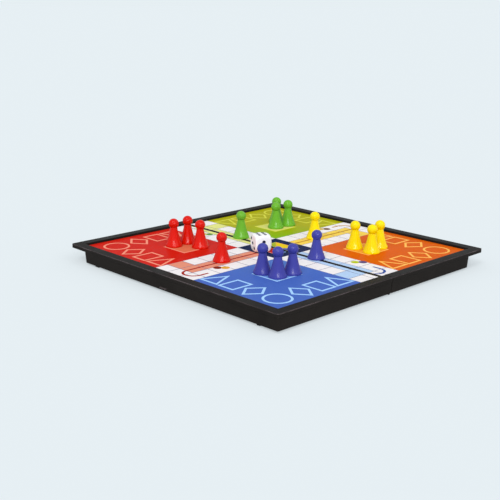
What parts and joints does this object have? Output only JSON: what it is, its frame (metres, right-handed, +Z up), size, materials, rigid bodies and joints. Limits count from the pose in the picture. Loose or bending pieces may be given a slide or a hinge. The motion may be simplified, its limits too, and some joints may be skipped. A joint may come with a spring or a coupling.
{
  "type": "folding ludo board case",
  "caption": "Hinged two-tray board game case: open it is a square magnetic ludo board with pawns and a die; folded under itself it is a storage box with a flip latch.",
  "frame": {"origin": "on the table, under the middle of the opened board", "axes": "+Z up; +X along the fold; +Y from the front half to the rear half, which carries the latch"},
  "size_m": [0.25, 0.25, 0.0373],
  "materials": {
    "tray_plastic": "fine moulded texture with a faint sheen",
    "steel": "bare rolled sheet and drawn wire",
    "printed_sheet": "printed and laminated, satin",
    "magnet": "sintered ferrite, dull",
    "pawn_red": "glossy moulded",
    "pawn_green": "glossy moulded",
    "pawn_yellow": "glossy moulded",
    "pawn_blue": "glossy moulded",
    "die_plastic": "polished moulded"
  },
  "bodies": {
    "front_half": {"front_tray": "tray_plastic", "front_steel_sheet": "steel", "front_printed_sheet": "printed_sheet", "hinge_pin_left": "steel", "hinge_pin_right": "steel"},
    "rear_half": {"rear_tray": "tray_plastic", "rear_steel_sheet": "steel", "rear_printed_sheet": "printed_sheet", "latch_pin": "steel"},
    "latch": {"latch_flap": "tray_plastic"},
    "die": {"die": "die_plastic"},
    "red_pawn_1": {"red_pawn_1": "pawn_red", "red_pawn_1_magnet": "magnet"},
    "red_pawn_2": {"red_pawn_2": "pawn_red", "red_pawn_2_magnet": "magnet"},
    "red_pawn_3": {"red_pawn_3": "pawn_red", "red_pawn_3_magnet": "magnet"},
    "red_pawn_4": {"red_pawn_4": "pawn_red", "red_pawn_4_magnet": "magnet"},
    "green_pawn_1": {"green_pawn_1": "pawn_green", "green_pawn_1_magnet": "magnet"},
    "green_pawn_2": {"green_pawn_2": "pawn_green", "green_pawn_2_magnet": "magnet"},
    "green_pawn_3": {"green_pawn_3": "pawn_green", "green_pawn_3_magnet": "magnet"},
    "green_pawn_4": {"green_pawn_4": "pawn_green", "green_pawn_4_magnet": "magnet"},
    "yellow_pawn_1": {"yellow_pawn_1": "pawn_yellow", "yellow_pawn_1_magnet": "magnet"},
    "yellow_pawn_2": {"yellow_pawn_2": "pawn_yellow", "yellow_pawn_2_magnet": "magnet"},
    "yellow_pawn_3": {"yellow_pawn_3": "pawn_yellow", "yellow_pawn_3_magnet": "magnet"},
    "yellow_pawn_4": {"yellow_pawn_4": "pawn_yellow", "yellow_pawn_4_magnet": "magnet"},
    "blue_pawn_1": {"blue_pawn_1": "pawn_blue", "blue_pawn_1_magnet": "magnet"},
    "blue_pawn_2": {"blue_pawn_2": "pawn_blue", "blue_pawn_2_magnet": "magnet"},
    "blue_pawn_3": {"blue_pawn_3": "pawn_blue", "blue_pawn_3_magnet": "magnet"},
    "blue_pawn_4": {"blue_pawn_4": "pawn_blue", "blue_pawn_4_magnet": "magnet"}
  },
  "joints": [
    {"name": "fold", "type": "hinge", "parent": "front_half", "child": "rear_half", "pos_m": [0, 0, 0.0016], "axis": [-1, 0, 0], "range_deg": [0, 180]},
    {"name": "latch_flip", "type": "hinge", "parent": "rear_half", "child": "latch", "pos_m": [0, 0.1233, 0.0038], "axis": [-1, 0, 0], "range_deg": [0, 180]},
    {"name": "die_lift", "type": "slide", "parent": "front_half", "child": "die", "axis": [0, 0, 1], "range_m": [0, 0.04]},
    {"name": "red_pawn_1_lift", "type": "slide", "parent": "front_half", "child": "red_pawn_1", "axis": [0, 0, 1], "range_m": [0, 0.04]},
    {"name": "red_pawn_2_lift", "type": "slide", "parent": "front_half", "child": "red_pawn_2", "axis": [0, 0, 1], "range_m": [0, 0.04]},
    {"name": "red_pawn_3_lift", "type": "slide", "parent": "front_half", "child": "red_pawn_3", "axis": [0, 0, 1], "range_m": [0, 0.04]},
    {"name": "red_pawn_4_lift", "type": "slide", "parent": "front_half", "child": "red_pawn_4", "axis": [0, 0, 1], "range_m": [0, 0.04]},
    {"name": "green_pawn_1_lift", "type": "slide", "parent": "rear_half", "child": "green_pawn_1", "axis": [0, 0, 1], "range_m": [0, 0.04]},
    {"name": "green_pawn_2_lift", "type": "slide", "parent": "rear_half", "child": "green_pawn_2", "axis": [0, 0, 1], "range_m": [0, 0.04]},
    {"name": "green_pawn_3_lift", "type": "slide", "parent": "rear_half", "child": "green_pawn_3", "axis": [0, 0, 1], "range_m": [0, 0.04]},
    {"name": "green_pawn_4_lift", "type": "slide", "parent": "rear_half", "child": "green_pawn_4", "axis": [0, 0, 1], "range_m": [0, 0.04]},
    {"name": "yellow_pawn_1_lift", "type": "slide", "parent": "rear_half", "child": "yellow_pawn_1", "axis": [0, 0, 1], "range_m": [0, 0.04]},
    {"name": "yellow_pawn_2_lift", "type": "slide", "parent": "rear_half", "child": "yellow_pawn_2", "axis": [0, 0, 1], "range_m": [0, 0.04]},
    {"name": "yellow_pawn_3_lift", "type": "slide", "parent": "rear_half", "child": "yellow_pawn_3", "axis": [0, 0, 1], "range_m": [0, 0.04]},
    {"name": "yellow_pawn_4_lift", "type": "slide", "parent": "rear_half", "child": "yellow_pawn_4", "axis": [0, 0, 1], "range_m": [0, 0.04]},
    {"name": "blue_pawn_1_lift", "type": "slide", "parent": "front_half", "child": "blue_pawn_1", "axis": [0, 0, 1], "range_m": [0, 0.04]},
    {"name": "blue_pawn_2_lift", "type": "slide", "parent": "front_half", "child": "blue_pawn_2", "axis": [0, 0, 1], "range_m": [0, 0.04]},
    {"name": "blue_pawn_3_lift", "type": "slide", "parent": "front_half", "child": "blue_pawn_3", "axis": [0, 0, 1], "range_m": [0, 0.04]},
    {"name": "blue_pawn_4_lift", "type": "slide", "parent": "rear_half", "child": "blue_pawn_4", "axis": [0, 0, 1], "range_m": [0, 0.04]}
  ]
}
